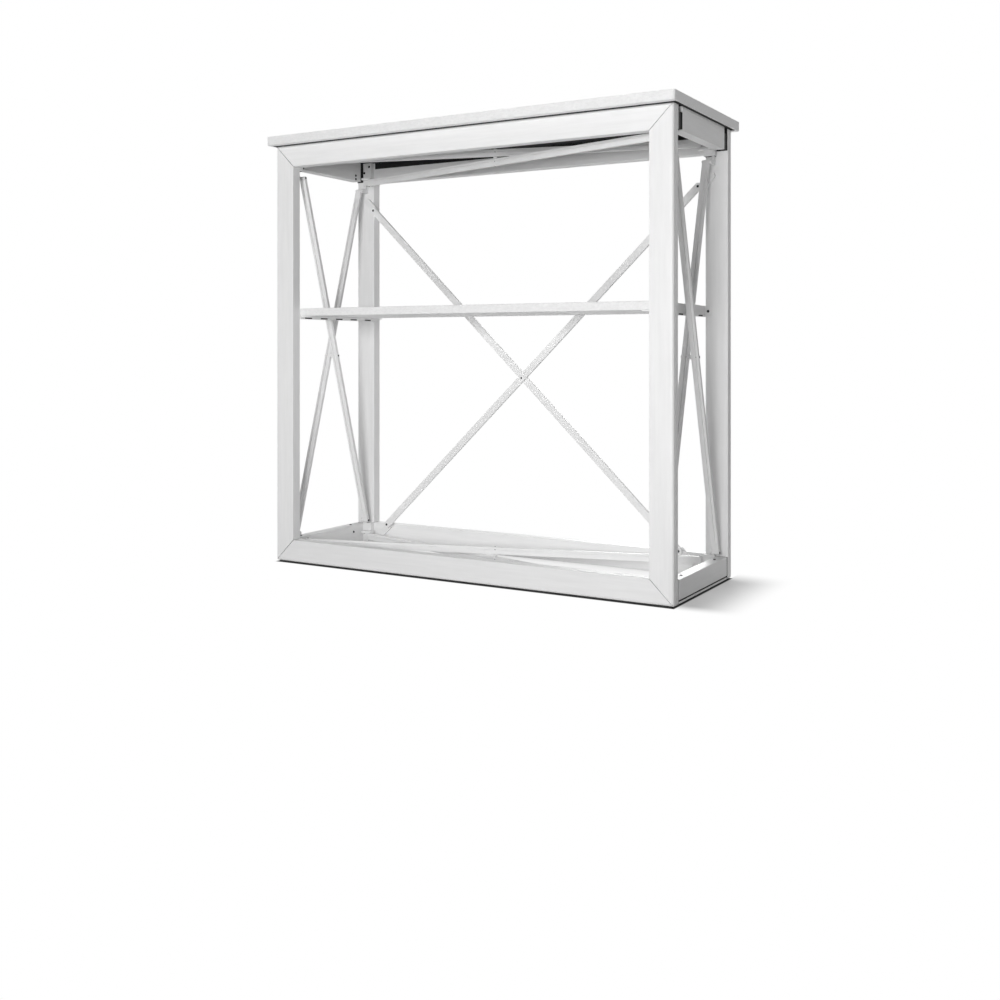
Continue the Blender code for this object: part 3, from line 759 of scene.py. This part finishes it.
def floorWithPaintedShadow():
    made, tree = emptyMaterial("studio_floor_with_painted_shadow")
    half, edge, member = floorLook["halfM"], floorLook["edgeM"], floorLook["memberM"]
    place = addNode(tree, "ShaderNodeTexCoord")
    ground = addNode(tree, "ShaderNodeSeparateXYZ", {0: place.outputs["Object"]})
    spread = addNode(tree, "ShaderNodeVectorMath", {0: place.outputs["Object"]}, operation="ABSOLUTE")
    past = addNode(
        tree, "ShaderNodeVectorMath", {0: spread.outputs[0]}, {1: half}, operation="SUBTRACT"
    )
    beyond, pastFrame = furtherOut(tree, past)
    outside = addNode(tree, "ShaderNodeMapRange", {"Value": pastFrame}, {"From Max": edge})
    facing = addNode(
        tree, "ShaderNodeVectorMath", {0: place.outputs["Object"]},
        {1: floorLook["closedTo"], 2: [-reach for reach in half]}, operation="MULTIPLY_ADD",
    )
    underMember = furtherOut(tree, facing)[1]
    covered = addNode(
        tree, "ShaderNodeMapRange", {"Value": underMember},
        {"From Min": -member, "From Max": edge - member},
    )
    bright = addNode(
        tree, "ShaderNodeMapRange", {"Value": paintedShadowArea(tree, ground, beyond)},
        {"To Min": 1.0, "To Max": 1 - floorLook["paintedShadowDeep"]},
    )
    # inside the frame the floor is partly plain white, painted light; under the front and right members it
    # is not
    inside = addNode(
        tree, "ShaderNodeMapRange", {"Value": covered.outputs[0]},
        {"To Min": floorLook["insidePaintedWhite"], "To Max": 0.0},
    )
    whiteness = addNode(
        tree, "ShaderNodeMix",
        {"Factor": outside.outputs[0], "A": inside.outputs[0], "B": bright.outputs[0]},
    )
    # painted dark contact shade under the front and right members, painted darker paper in the shadow off
    # the right end
    underside = mixColours(tree, covered.outputs[0], floorLook["paper"], floorLook["paintedContactShade"])
    seenColour = mixColours(tree, outside.outputs[0], underside, floorLook["paintedShadeColour"])
    paper = addNode(tree, "ShaderNodeBsdfDiffuse", values={"Color": linear(floorLook["paper"])})
    seenPaper = addNode(tree, "ShaderNodeBsdfDiffuse", {"Color": seenColour})
    plainWhite = addNode(tree, "ShaderNodeEmission", values={"Color": (1, 1, 1, 1), "Strength": 1.0})
    shown = addNode(
        tree, "ShaderNodeMixShader",
        {0: whiteness.outputs[0], 1: seenPaper.outputs[0], 2: plainWhite.outputs[0]},
    )
    ray = addNode(tree, "ShaderNodeLightPath")
    seen = addNode(
        tree, "ShaderNodeMixShader",
        {0: ray.outputs["Is Camera Ray"], 1: paper.outputs[0], 2: shown.outputs[0]},
    )
    addNode(tree, "ShaderNodeOutputMaterial", {"Surface": seen.outputs[0]})
    return made


bpy.ops.mesh.primitive_plane_add(size=floorLook["sizeM"])
floor = bpy.context.object
floor.name = "studio_floor"
floor.data.materials.append(floorWithPaintedShadow())

# background: white where it is seen, plain soft light otherwise
sky = {"light": 0.165}


def whiteStudio():
    world = bpy.data.worlds.new("white_studio")
    world.use_nodes = True
    tree = world.node_tree
    tree.nodes.clear()
    ray = addNode(tree, "ShaderNodeLightPath")
    direct = addNode(
        tree, "ShaderNodeMath",
        {0: ray.outputs["Is Camera Ray"], 1: ray.outputs["Is Glossy Ray"]}, operation="MAXIMUM",
    )
    shown = addNode(
        tree, "ShaderNodeMath",
        {0: direct.outputs[0], 1: ray.outputs["Is Transmission Ray"]}, operation="MAXIMUM",
    )
    soft = addNode(
        tree, "ShaderNodeBackground", values={"Color": (1, 1, 1, 1), "Strength": sky["light"]}
    )
    white = addNode(tree, "ShaderNodeBackground", values={"Color": (1, 1, 1, 1), "Strength": 1.0})
    mixed = addNode(
        tree, "ShaderNodeMixShader", {0: shown.outputs[0], 1: soft.outputs[0], 2: white.outputs[0]}
    )
    addNode(tree, "ShaderNodeOutputWorld", {"Surface": mixed.outputs[0]})
    return world


scene.world = whiteStudio()

# lamps: soft boxes in front, behind and above, and a panel on the floor that lights the undersides
lamps = {
    "front_soft_box": {"at": (0.75, -3.20, 0.75), "aim": (0, 0, 0.5), "size": (1.0, 0.8), "watts": 59},
    "back_soft_box": {"at": (-0.75, 3.40, 1.30), "aim": (0, 0, 0.5), "size": (1.2, 1.0), "watts": 36},
    "top_soft_box": {"at": (-0.40, 0.90, 4.00), "aim": (-0.40, 0, 1), "size": (1.2, 1.0), "watts": 50},
    "inner_panel": {"at": (0, 0, 0.012), "aim": (0, 0, 1), "size": (0.84, 0.26), "watts": 0.15},
}
for name, look in lamps.items():
    data = bpy.data.lights.new(name, "AREA")
    data.shape = "RECTANGLE"
    data.energy = look["watts"]
    data.size, data.size_y = look["size"]
    lamp = looseObject(name, data)
    lamp.location = look["at"]
    lamp.rotation_euler = (Vector(look["aim"]) - lamp.location).to_track_quat("-Z", "Y").to_euler()
    lamp.visible_camera = False

# camera: level, so that uprights stay upright, with the frame shifted instead
view = {"at": (1.33, -2.274, 0.506), "tilt": 90, "turn": 30.085, "lens": 41.58, "shiftY": -0.15245}
cameraData = bpy.data.cameras.new("photo_view")
cameraData.lens = view["lens"]
cameraData.shift_y = view["shiftY"]
camera = looseObject("photo_view", cameraData)
camera.location = view["at"]
camera.rotation_euler = (math.radians(view["tilt"]), 0, math.radians(view["turn"]))
scene.camera = camera
scene.view_settings.view_transform = "Standard"
print("floor, lamps and camera set")
